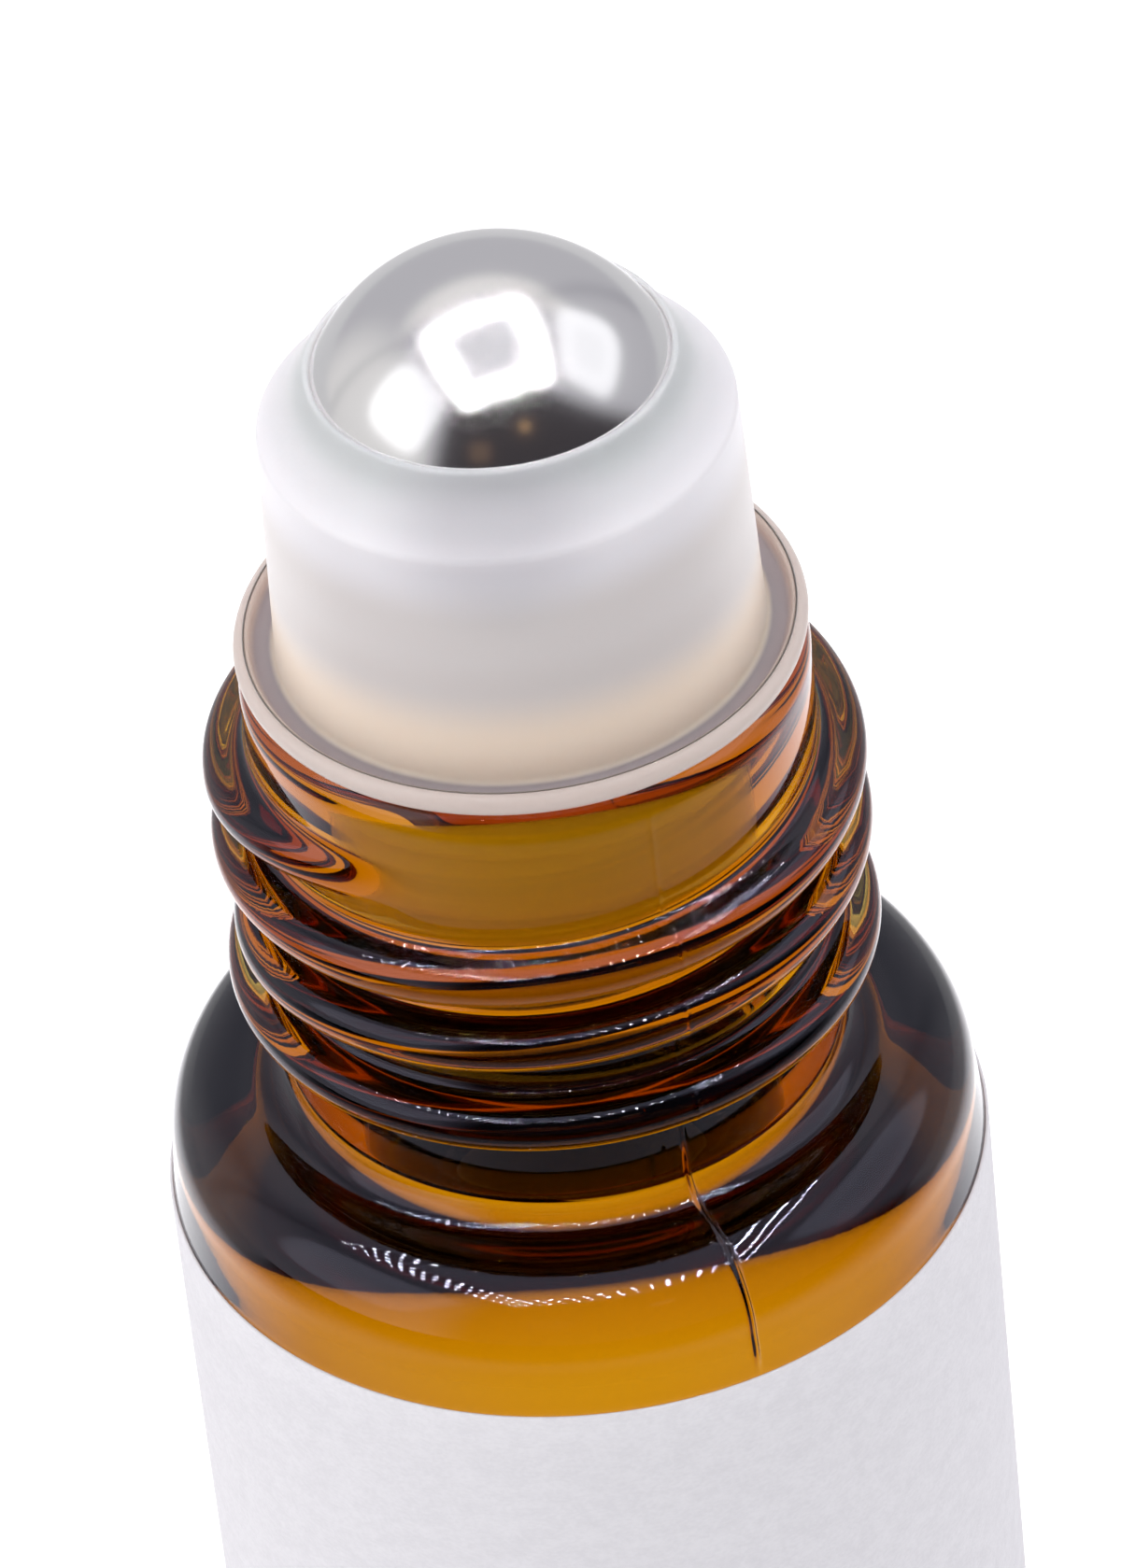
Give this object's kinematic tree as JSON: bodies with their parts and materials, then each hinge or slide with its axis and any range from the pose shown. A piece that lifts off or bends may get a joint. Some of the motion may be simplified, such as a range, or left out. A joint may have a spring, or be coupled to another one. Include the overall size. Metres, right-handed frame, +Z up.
{
  "type": "roll on bottle",
  "caption": "Small amber glass cylinder with a screw neck and a pressed-in white fitment whose steel ball rolls liquid onto the skin, with a plain wrap-around paper label",
  "frame": {"origin": "on the bottle's axis, in the plane that it stands on", "axes": "+Z up along the bottle's axis from its base to the ball, +X to the viewer's right as it stands label to the front, -Y towards the viewer at the front of the label"},
  "size_m": [0.0202, 0.0201, 0.0838],
  "materials": {
    "amber_glass": "smooth amber container glass, fire polished",
    "white_plastic": "moulded translucent white polyethylene, satin",
    "ball_steel": "polished stainless steel",
    "label_paper": "uncoated off-white label paper with a fine fibre grain"
  },
  "bodies": {
    "container": {"bottle": "amber_glass", "roller_housing": "white_plastic", "label": "label_paper"},
    "roller": {"ball": "ball_steel"}
  },
  "joints": [
    {"name": "ball_spin", "type": "hinge", "parent": "container", "child": "roller", "pos_m": [0, 0, 0.07907], "axis": [1, 0, 0], "continuous": true}
  ]
}
